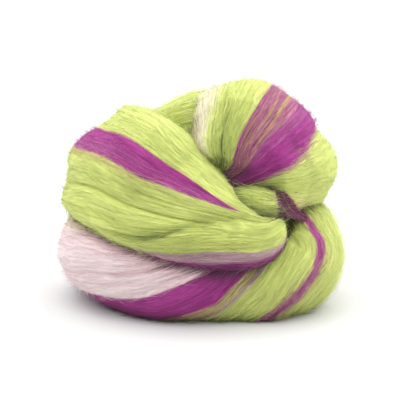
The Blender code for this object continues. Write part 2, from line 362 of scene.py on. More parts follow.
# %% Stripes
# pass, dye, softness of its two edges in mm, share, and rows of: station, from line, to line
STRIPES = [
    ("front_band", "magenta", (1.8, 1.4), 1,
     [(2.6, 0.205, 0.205), (3.2, 0.205, 0.275), (12.5, 0.205, 0.275), (13.8, 0.24, 0.24)]),
    ("front_band", "magenta", (3, 3), 1,
     [(1, 0.515, 0.66), (1.8, 0.515, 0.66), (3.6, 0.52, 0.64), (4.8, 0.51, 0.56)]),
    ("front_band", "mauve", (1, 3), 1,
     [(1.1, 0.515, 0.52), (1.8, 0.502, 0.53), (3.2, 0.49, 0.535), (4.2, 0.49, 0.52), (5, 0.5, 0.505)]),
    ("front_band", "tan", (1.5, 2.5), 0.5,
     [(5, 0.275, 0.28), (6, 0.275, 0.292), (9, 0.275, 0.295), (13, 0.28, 0.28)]),
    ("front_band", "mauve", (2, 2), 0.25, [(2.6, 0.21, 0.28), (8, 0.25, 0.29)]),
    ("front_band", "pink", (3, 3), 1,
     [(9, 0.39, 0.39), (10.5, 0.36, 0.42), (13, 0.35, 0.42), (13.9, 0.38, 0.38)]),
    ("top_lobe", "pink", (8, 3), 0.5,
     [(1.2, 0.42, 0.5), (2, 0.4, 0.5), (3, 0.38, 0.48), (4, 0.375, 0.45), (8, 0.39, 0.43)]),
    ("top_lobe", "magenta", (5, 1.2), 1,
     [(0.3, 0.05, 0.29), (1.4, 0.095, 0.288), (1.9, 0.106, 0.286), (2.5, 0.11, 0.285), (3.2, 0.124, 0.285),
      (3.8, 0.145, 0.285), (5, 0.16, 0.28), (8.5, 0.18, 0.26)]),
    ("top_lobe", "magenta", (2, 2), 0.9,
     [(1.5, 0.95, 0.95), (2, 0.95, 1.045), (2.4, 0.96, 1.02), (2.9, 0.98, 0.98)]),
    ("top_lobe", "mauve", (2, 2), 0.3, [(0.8, 0.18, 0.285), (7, 0.19, 0.275)]),
    ("top_lobe", "tan", (1, 1), 0.38, [(0.6, 0.205, 0.285), (7, 0.22, 0.275)]),
    ("top_lobe", "tan", (0.8, 0.8), 0.8,
     [(1, 0.243, 0.247), (2, 0.223, 0.229), (2.9, 0.228, 0.234), (3.7, 0.236, 0.244), (7, 0.24, 0.25)]),
    ("top_lobe", "tan", (0.8, 0.8), 0.8,
     [(1, 0.261, 0.265), (2.2, 0.249, 0.253), (3, 0.25, 0.255), (3.8, 0.253, 0.258)]),
    ("top_lobe", "tan", (0.8, 0.8), 0.6, [(1.4, 0.271, 0.274), (2.2, 0.268, 0.272), (3.4, 0.27, 0.274)]),
    ("throat_turn", "magenta", (2, 2), 0.9, [(2.75, 0, 1), (6, 0, 1)]),
    ("lower_band", "pink", (3, 1.5), 1,
     [(4.4, 0.62, 0.72), (5, 0.56, 0.71), (6, 0.48, 0.708), (7, 0.45, 0.706), (7.6, 0.465, 0.705),
      (8.4, 0.46, 0.7), (9.4, 0.43, 0.7), (11.8, 0.44, 0.69)]),
    ("lower_band", "pink", (4, 3), 0.6,
     [(6.6, 0.42, 0.5), (7.5, 0.38, 0.5), (8.6, 0.38, 0.5), (9.6, 0.41, 0.45)]),
    ("lower_band", "magenta", (1.5, 2), 1,
     [(3.2, 0.73, 0.81), (4, 0.69, 0.81), (5, 0.688, 0.81), (8, 0.686, 0.81), (11.8, 0.67, 0.8)]),
    ("lower_band", "mauve", (2, 3), 0.45, [(3, 0.8, 0.86), (5.2, 0.8, 0.86), (9, 0.8, 0.86)]),
    ("lower_band", "tan", (2, 3), 0.5,
     [(3, 0.81, 0.83), (4.2, 0.8, 0.85), (5.2, 0.8, 0.85), (7, 0.8, 0.84), (12, 0.8, 0.83)]),
    ("lower_band", "mauve", (2, 3), 0.9,
     [(3, 0.845, 0.86), (4.2, 0.848, 0.868), (5.4, 0.846, 0.864), (8, 0.84, 0.86)]),
    ("lower_band", "magenta", (1.8, 1.8), 0.76,
     [(1, 0.036, 0.074), (1.23, 0.035, 0.075), (1.64, 0.042, 0.084), (2.37, 0.029, 0.073),
      (2.86, 0.017, 0.061), (3.15, 0.043, 0.087), (3.49, 0.043, 0.087), (3.87, 0.011, 0.053),
      (4.13, 0.003, 0.043), (7, 0.01, 0.04)]),
    ("foot_band", "pink", (3, 1.5), 1, [(0, 0.27, 0.52), (2.6, 0.26, 0.5), (5, 0.26, 0.48)]),
    ("foot_band", "magenta", (1.5, 2), 1, [(0, 0.5, 0.62), (5, 0.48, 0.6)]),
    ("under_turn", "magenta", (3, 3), 1, [(0.2, 0.2, 0.28), (3.8, 0.2, 0.28)]),
]
DYES = ("pink", "magenta", "mauve", "tan")  # a later dye lies over an earlier one
END_FADE = 0.3  # stations over which a stripe begins and ends


def cover(name, station, line, softness, rows, fade=END_FADE):
    """How much of the wool a run of fibre lines takes here: 0 outside, 1 inside."""
    at, low, high = np.array(rows, float).T
    middle = np.interp(station, at, (low + high) / 2)
    half = np.interp(station, at, (high - low) / 2)
    offset = (line - middle + 0.5) % 1 - 0.5
    mm = girth_at(name, station)
    first = 0.5 + (offset + half) * mm / softness[0]
    second = 0.5 + (half - offset) * mm / softness[1]
    ends = 0.5 + np.minimum(station - at[0], at[-1] - station) / fade
    return np.clip(np.minimum(np.minimum(first, second), ends), 0, 1)


def dye_cover(name, dye, station, line):
    """How much of the wool has this dye here: 0 none, 1 all."""
    total = np.zeros(np.broadcast(station, line).shape)
    for which, colour, softness, share, rows in STRIPES:
        if (which, colour) == (name, dye):
            total = np.maximum(total, share * cover(name, station, line, softness, rows))
    return total


print("stripes:", len(STRIPES))

# %% [markdown]
# ## Where light doesn't reach
# Between two passes of real roving the light is lost among the fibres, further than a smooth skin shows,
# so shade is painted into the wool's colour. Two things are measured for a small grid of places on each
# pass: the share of rays from there that soon meet the ball or the floor, and how near the next pass is
# that lies over it. A table adds painted shade in the pit and the throat, which are deeper in the real
# ball than in the solid.

# %% Room for light
solid_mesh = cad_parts["roving_ball"].data
solid = BVHTree.FromPolygons([v.co for v in solid_mesh.vertices], [p.vertices for p in solid_mesh.polygons])
ROOM_GRID = (0.25, 50)  # stations between its points, and points round
REACH = 22.0  # mm: the ball counts within this
FLOOR_REACH = 9.0  # mm: the white floor gives some light back, so it counts only from close by
SPREAD = unit(np.random.default_rng(5).normal(0, 1, (28, 3)))  # ways all round, added to the surface's own
TIPPED = 0.98  # under 1, so that no ray points into the surface
NORMAL_STEP = (0.02, 0.002)  # stations, turns
END_GAP = 0.05  # stations kept clear of a pass's closed ends
NOT_COVERED = 30.0  # mm: the distance given where no pass lies over this one


def normal_at(name, station, line, bundled=True):
    """The direction out of the pass's surface."""
    step, turn = NORMAL_STEP
    ahead = on_pass(name, station + step, line, bundled) - on_pass(name, station - step, line, bundled)
    round_ = on_pass(name, station, line + turn, bundled) - on_pass(name, station, line - turn, bundled)
    return unit(np.cross(ahead, round_))


def is_blocked(start, way):
    """Whether a ray from a point in mm soon meets the ball or the floor."""
    if start[2] + way[2] * FLOOR_REACH < 0:
        return True
    return solid.ray_cast(Vector(start * MM), Vector(way), REACH * MM)[0] is not None


def room_grid(name):
    """The points and normals of a grid over the pass, without its fine bundles."""
    last = len(PASSES[name][0]) - 1
    station = np.clip(np.arange(0, last + 0.01, ROOM_GRID[0]), END_GAP, last - END_GAP)
    station, line = np.meshgrid(station, np.arange(ROOM_GRID[1]) / ROOM_GRID[1], indexing="ij")
    return on_pass(name, station, line, bundled=False), normal_at(name, station, line, bundled=False)


def plain_tree(points):
    """The grid as a closed tube to measure distances to."""
    along, round_ = points.shape[:2]
    i, j = np.meshgrid(np.arange(along - 1), np.arange(round_), indexing="ij")
    after = (j + 1) % round_
    here, ahead = i * round_, (i + 1) * round_
    faces = np.stack([here + j, ahead + j, ahead + after, here + after], axis=-1)
    return BVHTree.FromPolygons(points.reshape(-1, 3).tolist(), faces.reshape(-1, 4).tolist())


ROOM = {name: room_grid(name) for name in PASSES}
TUBES = {name: plain_tree(points) for name, (points, _) in ROOM.items()}


def blocked_grid(name):
    """The share of rays that are blocked."""
    points, normals = ROOM[name]
    ways = unit(normals[..., None, :] + TIPPED * SPREAD).reshape(-1, len(SPREAD), 3)
    starts = (points + normals).reshape(-1, 3)
    blocked = [sum(is_blocked(start, way) for way in fan) for start, fan in zip(starts, ways)]
    return np.array(blocked).reshape(points.shape[:2]) / len(SPREAD)


# The passes from the lowest layer to the uppermost.
LAYERS = ("under_turn", "foot_band", "lower_band", "back_band", "throat_turn", "top_lobe", "front_band")


def overlap_grid(name):
    """The distance in mm to the nearest pass that lies over this one."""
    points, _ = ROOM[name]
    over = [TUBES[other] for other in LAYERS[LAYERS.index(name) + 1 :]]
    near = [
        min([tube.find_nearest(Vector(point))[3] for tube in over], default=NOT_COVERED)
        for point in points.reshape(-1, 3)
    ]
    return np.array(near).reshape(points.shape[:2])


BLOCKED = {name: blocked_grid(name) for name in PASSES}
OVERLAP = {name: overlap_grid(name) for name in PASSES}


def between(grid, station, line):
    """A grid's value between its points."""
    a = np.clip(station / ROOM_GRID[0], 0, len(grid) - 1.001)
    b = line % 1 * ROOM_GRID[1]
    i, j = a.astype(int), b.astype(int) % ROOM_GRID[1]
    along, round_ = a - i, b - np.floor(b)
    after = (j + 1) % ROOM_GRID[1]
    here = (1 - round_) * grid[i, j] + round_ * grid[i, after]
    ahead = (1 - round_) * grid[i + 1, j] + round_ * grid[i + 1, after]
    return (1 - along) * here + along * ahead


print("mean share blocked:", {name: round(float(grid.mean()), 2) for name, grid in BLOCKED.items()})

# %% Painted shade
# pass, how much painted shade, stations over which it fades, softness of its two edges in mm, and rows as for
# a stripe
PAINTED_SHADE_ROWS = [
    ("top_lobe", 0.5, 0.8, (9, 9), [(-1, 0, 1), (0.8, 0, 1)]),
    ("top_lobe", 0.45, 2.2, (9, 9), [(-1, 0.54, 1.37), (1.8, 0.54, 1.37)]),
    ("top_lobe", 0.4, 2.4, (9, 9), [(-1, 0.28, 0.4), (2.2, 0.29, 0.38), (3.2, 0.31, 0.36)]),
    ("top_lobe", 0.15, 1.2, (9, 9), [(-1, 0.08, 0.28), (2, 0.08, 0.28)]),
    ("throat_turn", 0.36, 0.5, (4, 4), [(-1, 0, 1), (7, 0, 1)]),
    ("throat_turn", 0.65, 0.4, (4, 4), [(2.9, 0, 1), (7, 0, 1)]),
    ("lower_band", 0.8, 0.7, (4, 4), [(-1, 0, 1), (1.3, 0, 1)]),
    ("lower_band", 0.5, 0.8, (3, 7),
     [(4.24, 0.78, 0.865), (4.76, 0.69, 0.78), (5.28, 0.6, 0.7), (5.81, 0.52, 0.625), (6.38, 0.46, 0.555),
      (6.89, 0.42, 0.505), (7.3, 0.41, 0.475)]),
    ("front_band", 0.8, 0.6, (3, 4), [(0.8, 0.535, 0.72), (3.2, 0.535, 0.7), (5.4, 0.525, 0.66)]),
    ("front_band", 0.3, 1, (6, 6), [(1.5, 0.36, 0.5), (5, 0.44, 0.5)]),
    ("front_band", 0.2, 1.4, (2, 2), [(0.5, 0.21, 0.27), (4.2, 0.21, 0.27)]),
    ("front_band", 0.62, 0.9, (6, 0.9),
     [(2.5, 0.285, 0.31), (3.37, 0.315, 0.352), (3.74, 0.352, 0.397), (3.98, 0.385, 0.431),
      (4.26, 0.415, 0.46), (4.9, 0.445, 0.468)]),
    ("top_lobe", 0.35, 0.6, (6, 6), [(0.4, 0.93, 1.1), (1.8, 0.95, 1.09), (2.4, 0.97, 1.04)]),
    ("front_band", 0.4, 0.5, (3, 3), [(-1, 0, 1), (0.8, 0, 1)]),
]
PAINTED_OVERLAP_SHADOW = {  # painted shadow: how dark a pass is made beneath the edge of the next one, and over how many mm that fades
    "lower_band": (0.9, 4.0),
    "foot_band": (0.8, 3.0),
    "under_turn": (0.8, 3.0),
    "back_band": (0.5, 1.6),
    "throat_turn": (0.75, 2.2),
    "top_lobe": (0.65, 1.8),
}
PAINTED_FOOT_SHADOW = (0.55, 3.5)  # painted contact shadow: how dark the wool is made where it touches the floor, and over how many mm that fades
BLOCKED_RANGE = (0.22, 0.78)  # the shares of blocked rays at which painted shade begins and is darkest
BLOCKED_SHADE = 0.6  # how dark that painted shade is then
GROOVE_SHADE = (2.5, 0.35)  # mm: painted shade in grooves; a groove this deep would be painted black, but none is darker than the second value


def painted_shade(name, station, line):
    """Painted shade: 0 on the open surface, up to 1 where no light comes."""
    low, high = BLOCKED_RANGE
    total = BLOCKED_SHADE * np.clip((between(BLOCKED[name], station, line) - low) / (high - low), 0, 1)
    total = total + PAINTED_FOOT_SHADOW[0] * np.exp(-on_pass(name, station, line)[..., 2] / PAINTED_FOOT_SHADOW[1])
    if name in PAINTED_OVERLAP_SHADOW:
        amount, fade = PAINTED_OVERLAP_SHADOW[name]
        total = total + amount * np.exp(-between(OVERLAP[name], station, line) / fade)
    depth, most = GROOVE_SHADE
    total = total + np.clip(-bundle_height(name, station, line) / depth, 0, most)
    for which, amount, fade, softness, rows in PAINTED_SHADE_ROWS:
        if which == name:
            total = total + amount * cover(name, station, line, softness, rows, fade)
    return np.clip(total, 0, 1)


print("dark places:", len(PAINTED_SHADE_ROWS))

# %% [markdown]
# ## Node helpers
# A material is a tree of nodes, each fed by values or by other nodes. One function adds any node with its
# settings and links. Colours are picked as sRGB hex, as a painter would from a swatch card, and turned to
# linear once.

# %% Node helpers


def linear(hex_colour):
    """An sRGB hex colour as linear RGBA."""
    channels = [int(hex_colour[i : i + 2], 16) / 255 for i in (1, 3, 5)]
    return [c / 12.92 if c <= 0.04045 else ((c + 0.055) / 1.055) ** 2.4 for c in channels] + [1.0]


def even_stops(colours):
    """Hex colours spaced evenly over a colour ramp: where each stands, and its linear colour."""
    return [(i / (len(colours) - 1), linear(colour)) for i, colour in enumerate(colours)]


def feed(tree, node, inputs):
    """Gives each input, by its name or as i and its number, a value or the socket that it is linked to."""
    for key, value in inputs.items():
        by_number = key[0] == "i" and key[1:].isdigit()
        socket = node.inputs[int(key[1:]) if by_number else key.replace("_", " ")]
        if isinstance(value, bpy.types.NodeSocket):
            tree.links.new(value, socket)
        else:
            socket.default_value = value


def add(tree, kind, stops=(), **given):
    """Adds a shader node with the stops of its colour ramp. What else is given is a setting or an input."""
    node = tree.nodes.new("ShaderNode" + kind)
    for key in [key for key in given if hasattr(node, key)]:
        setattr(node, key, given.pop(key))
    while stops and len(node.color_ramp.elements) < len(stops):
        node.color_ramp.elements.new(0.5)
    for i, (at, colour) in enumerate(stops):
        node.color_ramp.elements[i].position = at
        node.color_ramp.elements[i].color = colour
    feed(tree, node, given)
    return node


print("middle grey in linear light:", round(linear("#808080")[0], 3))

# %% [markdown]
# ## The wool
# Wool is keratin, with a refractive index of about 1.55. A single fibre shines, but a combed strip of
# them scatters light in all directions, so it is rough, with a soft sheen towards its rims. Each ramp
# holds lit and shaded copies of its dye: its dark end is painted shadow between the fibres, and its light
# end their painted lit backs.

# %% Shades of each dye, with painted shade and light: in a crevice, in shade, middling, lit, and a bright fibre
SHADES = {
    "lime": ("#454A22", "#AEBC5E", "#CBD675", "#D8E183", "#E5EB9E"),
    "magenta": ("#371A2B", "#812668", "#A02C84", "#B03C94", "#C464AC"),
    "pink": ("#70505A", "#DFBDC2", "#F1D9DC", "#F7E8E9", "#FAF1F0"),
    "tan": ("#46331F", "#9A774E", "#B99668", "#CAAE7B", "#DECB9B"),
    "mauve": ("#3E2836", "#8F6A79", "#B08E98", "#C2A3AA", "#D4BFC4"),
}
WOOL = {"IOR": 1.55, "Roughness": 0.85, "Sheen_Weight": 0.05, "Sheen_Roughness": 0.5}
STREAK = (45.0, 0.5)  # mm long and wide: a few dozen fibres side by side, drawn that coarse so that they show
TUFT = (60.0, 5.0)  # mm long and wide: broader drifts of shade
BLEND = 0.8  # at a dye's edge: near 0 lie pure fibres of either dye, and more is a smoother blend
NOISE_RANGE = (0.7, 1.3)  # what the two noises together span
TONE_RANGE = (0.4, 0.8)  # the part of each dye's ramp that open wool takes
FRAY_RANGE = (0.32, 0.68)  # what the streaks' noise spans
BUMP_DEPTH = 0.06  # mm
FIBRE_MAP = "OFBake"  # u along the strip, v round it


def combed_wool():
    """The strip's surface. It reads the piece's own map in mm, its dye covers and its painted shade."""
    material = bpy.data.materials.new("combed_wool")
    material.use_nodes = True
    tree = material.node_tree
    across = add(tree, "UVMap", uv_map=FIBRE_MAP).outputs["UV"]
    size = add(tree, "Attribute", attribute_name="size_mm").outputs["Vector"]
    mm = add(tree, "VectorMath", operation="MULTIPLY", i0=across, i1=size).outputs["Vector"]
    noises = []
    for long, wide in (STREAK, TUFT):
        scaled = add(tree, "Mapping", Vector=mm, Scale=(1 / long, 1 / wide, 1)).outputs["Vector"]
        noise = add(tree, "TexNoise", Vector=scaled, Scale=1.0, Detail=3.0, Roughness=0.6)
        noises.append(noise.outputs["Fac"])
    streak, tuft = noises
    both = add(tree, "Math", operation="ADD", i0=streak, i1=tuft).outputs[0]
    ends = dict(zip(("From_Min", "From_Max", "To_Min", "To_Max"), NOISE_RANGE + TONE_RANGE))
    tone = add(tree, "MapRange", Value=both, **ends).outputs["Result"]
    # painted shade stored on the vertices as dark, which darkens the tone
    dark = add(tree, "Attribute", attribute_name="dark").outputs["Fac"]
    light = add(tree, "Math", operation="SUBTRACT", i0=1.0, i1=dark).outputs[0]
    tone = add(tree, "Math", operation="MULTIPLY", i0=tone, i1=light).outputs[0]
    ends = {"From_Min": FRAY_RANGE[0], "From_Max": FRAY_RANGE[1], "To_Min": -1 / BLEND, "To_Max": 0.0}
    fray = add(tree, "MapRange", Value=streak, **ends).outputs["Result"]
    colour = add(tree, "ValToRGB", stops=even_stops(SHADES["lime"]), Fac=tone).outputs["Color"]
    for dye in DYES:
        covered = add(tree, "Attribute", attribute_name=dye).outputs["Fac"]
        share = add(tree, "Math", operation="MULTIPLY_ADD", i0=covered, i1=1 + 1 / BLEND, i2=fray)
        dyed = add(tree, "ValToRGB", stops=even_stops(SHADES[dye]), Fac=tone).outputs["Color"]
        mix = add(tree, "Mix", data_type="RGBA", i0=share.outputs[0], i6=colour, i7=dyed)
        colour = mix.outputs[2]
    bump = add(tree, "Bump", Height=streak, Distance=BUMP_DEPTH * MM, Strength=0.5)
    normal = bump.outputs["Normal"]
    feed(tree, tree.nodes["Principled BSDF"], {"Base_Color": colour, "Normal": normal, **WOOL})
    return material


combed = combed_wool()
print("materials:", combed.name)

# %% [markdown]
# ## A pass as a mesh
# A flat grid is the right start: its two directions become along and round. Each vertex is moved to its
# place on the pass, and the seam and the two ends close when doubles are merged. How much each dye covers
# and how much painted shade it takes there are stored on the vertices, so that the shader can fray the
# stripes' edges and darken the colour.

# %% Wrap a grid round each pass
MERGED = 0.005  # mm: vertices this close become one


def mesh_of(bm, name, material):
    """The finished bmesh as a mesh of one material."""
    mesh = bpy.data.meshes.new(name)
    bm.to_mesh(mesh)
    bm.free()
    mesh.materials.append(material)
    return mesh


def in_scene(name, data):
    """An object for a mesh or a camera, in the scene."""
    item = bpy.data.objects.new(name, data)
    bpy.context.collection.objects.link(item)
    return item


def wool_piece(bm, name):
    """The finished bmesh as a smooth piece of combed wool, in the solid ball's place."""
    mesh = mesh_of(bm, name, combed)
    mesh.shade_smooth()
    piece = in_scene(name, mesh)
    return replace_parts(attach(piece, "root"), "roving_ball")


def make_pass(name):
    """One pass, with the cover of each dye and its painted shade on its vertices."""
    rows, _, _, rings, sides = PASSES[name]
    bm = bmesh.new()
    bm.loops.layers.uv.new(FIBRE_MAP)
    bmesh.ops.create_grid(bm, x_segments=rings * (len(rows) - 1), y_segments=sides, size=0.5, calc_uvs=True)
    flat = np.array([vertex.co[:2] for vertex in bm.verts]) + 0.5
    station, line = flat[:, 0] * (len(rows) - 1), flat[:, 1]
    place = on_pass(name, station, line) * MM
    values = {dye: dye_cover(name, dye, station, line) for dye in DYES}
    # painted shade, which the material reads as the attribute dark
    values["dark"] = painted_shade(name, station, line)
    layers = {key: bm.verts.layers.float.new(key) for key in values}
    size = bm.verts.layers.float_vector.new("size_mm")
    size_mm = Vector((length_of(name), float(girth_at(name, station).max()), 1))
    for i, vertex in enumerate(bm.verts):
        vertex.co = place[i]
        vertex[size] = size_mm
        for key, layer in layers.items():
            vertex[layer] = values[key][i]
    bmesh.ops.remove_doubles(bm, verts=bm.verts, dist=MERGED * MM)
    bmesh.ops.recalc_face_normals(bm, faces=bm.faces)
    return wool_piece(bm, name)


for name in PASSES:
    piece = make_pass(name)
    print(name, len(piece.data.polygons), "faces")

# %% [markdown]
# ## The packed middle
# Where two passes part, the fibre packed inside shows dark between them, in shade. So little of it is
# seen that an egg of the same wool, with painted shade all over, is enough.

# %% The packed middle
CORE_CENTRE = (0, 8, 43)  # mm
CORE_SIZE = (92, 62, 73)  # mm
CORE_SEGMENTS = (64, 32)  # round it, and from pole to pole
CORE_ROUND = (280, 140, 1)  # mm, in the same order
# painted shade over the whole egg
CORE_PAINTED_SHADE = 0.8


def make_core():
    """An egg of wool inside the passes."""
    bm = bmesh.new()
    bm.loops.layers.uv.new(FIBRE_MAP)
    round_, down = CORE_SEGMENTS
    bmesh.ops.create_uvsphere(bm, u_segments=round_, v_segments=down, radius=0.5, calc_uvs=True)
    bmesh.ops.scale(bm, vec=[side * MM for side in CORE_SIZE], verts=bm.verts)
    middle = np.array(CORE_CENTRE) - FOOTPRINT_MIDDLE
    bmesh.ops.translate(bm, vec=middle * MM, verts=bm.verts)
    size = bm.verts.layers.float_vector.new("size_mm")
    # the egg's painted shade, stored as dark
    dark = bm.verts.layers.float.new("dark")
    for vertex in bm.verts:
        vertex[size] = CORE_ROUND
        vertex[dark] = CORE_PAINTED_SHADE
    return wool_piece(bm, "packed_middle")


print("packed middle:", len(make_core().data.polygons), "faces")

# %% [markdown]
# ## Where the wool shows
# Fibres are laid only where a pass is on the outside of the ball. The solid knows that: a point of a
# pass that lies close to the solid's skin is outside, and one that is deeper is covered.

# %% Find the open surface
SKIN = 1.3  # mm
CELL = (0.25, 0.01)  # stations, turns
FIRST_CELL = 0.1  # stations: the first cells lie this far from the pass's closed end
OFF_THE_FLOOR = 0.6  # mm: nothing is laid lower than this, where the ball rests


def is_outside(point):
    """Whether a point is within SKIN of the solid's surface, or outside it."""
    nearest, outwards, _, distance = solid.find_nearest(point)
    return distance < SKIN * MM or (point - nearest).dot(outwards) > 0


def open_cells(name):
    """Stations, lines and areas in mm2 of the pass's small cells that are on the outside."""
    last = len(PASSES[name][0]) - 1
    station, line = np.meshgrid(np.arange(FIRST_CELL, last, CELL[0]), np.arange(0, 1, CELL[1]), indexing="ij")
    point = on_pass(name, station, line)
    ahead = on_pass(name, np.minimum(station + CELL[0], last), line) - point
    round_ = on_pass(name, station, line + CELL[1]) - point
    area = np.linalg.norm(np.cross(ahead, round_), axis=-1)
    shows = np.array([is_outside(Vector(p * MM)) for p in point.reshape(-1, 3)])
    shows = shows & (point[..., 2].ravel() > OFF_THE_FLOOR)
    return station.ravel()[shows], line.ravel()[shows], area.ravel()[shows]


OPEN = {name: open_cells(name) for name in PASSES}
print({name: round(float(cells[2].sum() / 100)) for name, cells in OPEN.items()}, "cm2 open")

# %% [markdown]
# ## Strands
# A real fibre is 0.02 mm thick, far under a pixel. Each strand here stands for a lock of them: a closed
# three-sided tube that follows one fibre line, sinks into the strip at one end or both and wanders a
# little. Thousands are laid, so they are worked out together as arrays and joined into one mesh for each
# pass and kind. A strand's place on its map is a spot on a swatch card, which gives it its own colour
# with its painted shade.

# %% One strand, many times
SIDES = 3
ROUNDNESS = 0.8  # of a strand's shading: 0 is as soft as the strip it lies in
TAPER_AT = (0, 0.25, 0.75, 1)  # shares of a strand's length
TAPER = (0.3, 1, 1, 0.3)  # shares of its thickness there
# Across the swatch card: neighbours are dyes that meet on the ball.
WHEEL = ("lime", "magenta", "pink", "lime", "tan", "magenta", "mauve", "lime")
CARD_START = (0.003, 0.01)  # its margins on the map, across and up
CARD_SIZE = (0.99, 0.97)
SPOT = 0.004  # the size of one strand's spot on it


def strand_template(rings):
    """The triangles of one strand as vertex numbers, and the ring and side of each corner."""
    faces, corners = [], []
    for side in range(SIDES):
        after = (side + 1) % SIDES
        faces.append((0, 1 + side, 1 + after))
        corners.append(((0, side + 0.5), (1, side), (1, side + 1)))
        for ring in range(rings - 1):
            a, b = 1 + ring * SIDES + side, 1 + ring * SIDES + after
            faces.append((a, b + SIDES, b))
            corners.append(((ring + 1, side), (ring + 2, side + 1), (ring + 1, side + 1)))
            faces.append((a, a + SIDES, b + SIDES))
            corners.append(((ring + 1, side), (ring + 2, side), (ring + 2, side + 1)))
        first = 1 + (rings - 1) * SIDES
        faces.append((first + side, first + SIDES, first + after))
        corners.append(((rings, side), (rings + 1, side + 0.5), (rings, side + 1)))
    return np.array(faces), np.array(corners, float)


def join_strands(name, centre, normal, radius, dye, shade):
    """One mesh of strands. centre, normal: strands by points by 3, in mm. radius: mm. dye, shade: 0 to 1."""
    count, rings = len(centre), centre.shape[1] - 2
    tangent = unit(np.gradient(centre, axis=1))
    side = unit(np.cross(tangent, normal))
    up = np.cross(side, tangent)
    taper = np.interp(np.linspace(0, 1, rings + 2), TAPER_AT, TAPER)[1:-1]
    turns = np.radians(90 + 360 / SIDES * np.arange(SIDES))
    round_ = np.cos(turns)[:, None] * side[:, 1:-1, None] + np.sin(turns)[:, None] * up[:, 1:-1, None]
    tube = centre[:, 1:-1, None] + radius[:, None, None, None] * taper[None, :, None, None] * round_
    vertices = np.concatenate([centre[:, :1], tube.reshape(count, -1, 3), centre[:, -1:]], axis=1)
    faces, corners = strand_template(rings)
    all_faces = (faces[None] + vertices.shape[1] * np.arange(count)[:, None, None]).reshape(-1, 3)
    mesh = bpy.data.meshes.new(name)
    mesh.from_pydata((vertices.reshape(-1, 3) * MM).tolist(), [], all_faces.tolist())
    u = CARD_START[0] + CARD_SIZE[0] * dye[:, None, None] + SPOT * corners[None, ..., 0] / (rings + 1)
    v = CARD_START[1] + CARD_SIZE[1] * shade[:, None, None] + SPOT * corners[None, ..., 1]
    uv = np.stack([u, v], axis=-1).astype(np.float32)
    mesh.uv_layers.new(name=FIBRE_MAP).data.foreach_set("uv", uv.ravel())
    mesh.shade_smooth()
    middle = (ROUNDNESS * round_ + normal[:, 1:-1, None]).reshape(count, -1, 3)
    soft = np.concatenate([normal[:, :1], middle, normal[:, -1:]], axis=1)
    mesh.normals_split_custom_set_from_vertices(unit(soft).reshape(-1, 3).tolist())
    mesh.materials.append(dyed_strands)
    piece = in_scene(name, mesh)
    print(name, len(all_faces), "triangles")
    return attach(piece, "root")


def strand_material():
    """The strands' map is a swatch card: across it the dyes pass into each other, and up it they lighten from
    painted shadow to painted light.
    """
    material = bpy.data.materials.new("dyed_strands")
    material.use_nodes = True
    tree = material.node_tree
    place = add(tree, "UVMap", uv_map=FIBRE_MAP).outputs["UV"]
    axes = add(tree, "SeparateXYZ", Vector=place).outputs
    rows = [even_stops(shades) for shades in zip(*(SHADES[dye] for dye in WHEEL))]
    colour = add(tree, "ValToRGB", stops=rows[0], Fac=axes["X"]).outputs["Color"]
    steps = len(rows) - 1
    for i, stops in enumerate(rows[1:]):
        ends = {"From_Min": i / steps, "From_Max": (i + 1) / steps}
        share = add(tree, "MapRange", Value=axes["Y"], **ends).outputs["Result"]
        lighter = add(tree, "ValToRGB", stops=stops, Fac=axes["X"]).outputs["Color"]
        colour = add(tree, "Mix", data_type="RGBA", i0=share, i6=colour, i7=lighter).outputs[2]
    feed(tree, tree.nodes["Principled BSDF"], {"Base_Color": colour, **WOOL})
    return material


dyed_strands = strand_material()
print("triangles in a strand of 6 rings:", len(strand_template(6)[0]))

# %% [markdown]
# ## Lay the strands
# Their middles are scattered over the open surface by area. Each takes a mix of the two dyes that there
# is most of, with some chance in it, which frays the stripes' edges as real carding does. Locks lie flat.
# Fuzz is finer and shorter, slants across the locks, and lifts at one end, which gives wool its soft
# outline. A few fly-aways stand right out.

# %% Lay the strands
# How many on the whole ball, points of each, shortest and longest (mm), least and most radius (mm), slant,
# and least and most lift of the tip (mm).
KINDS = {
    "lock": (10500, 7, 14, 36, 0.06, 0.12, 0.03, -0.4, -0.2),
    "loose_lock": (1200, 7, 16, 40, 0.04, 0.08, 0.08, 0.1, 0.8),
    "fuzz": (24500, 5, 5, 15, 0.03, 0.055, 0.2, 0.5, 4.0),
    "flyaway": (200, 8, 15, 45, 0.025, 0.035, 0.25, 2.0, 6.0),
}
FEWEST = 4  # strands: fewer don't make a piece
SHORTEST_STATION = 8  # mm: a station counts as no shorter than this
STRAND_GAP = 0.03  # stations kept clear of a pass's closed ends
WANDER = (0.05, 0.2)  # mm: least and most of a strand's waves
WAVE = 2.2  # mm: a wave's length is this many times 2 pi
SUNK = 0.35  # mm: how deep a strand's lower end lies in the strip
MIDDLE_LIFT = (0.0, 0.22)  # mm: its middle lies this far over the strip
SINK_CURVE, LIFT_CURVE = 4, 1.1  # how late its two halves leave that height: at 1 they are straight
ON_THE_FLOOR = 0.15  # mm: no strand goes lower
SHADE = (0.6, 0.08, 0.2)  # middling, how much it drifts, and how much it differs from strand to strand
DARKEST = 0.2  # and the darkest that a strand in the light may be
LEAST_SHARE = 0.01  # of a second dye: a strand with less is all of one dye
DRIFT_GRID = (48, 400)  # along, across
DRIFTS_A_STATION = 1.5
FEWEST_ACROSS = 8  # drifts
rng = np.random.default_rng(11)
TONES = {name: rng.normal(0, 1, DRIFT_GRID) for name in PASSES}  # drifts of shade, one a mm across


def tone_at(name, station, line):
    """A drift of shade shared by the strands that lie together."""
    long, wide = DRIFT_GRID
    across = np.clip(girth_at(name, station), FEWEST_ACROSS, wide).astype(int)
    grid = TONES[name]
    row = station * DRIFTS_A_STATION
    first = np.floor(row).astype(int)
    column = (line % 1 * across).astype(int) % wide
    part = row - first
    return (1 - part) * grid[first % long, column] + part * grid[(first + 1) % long, column]


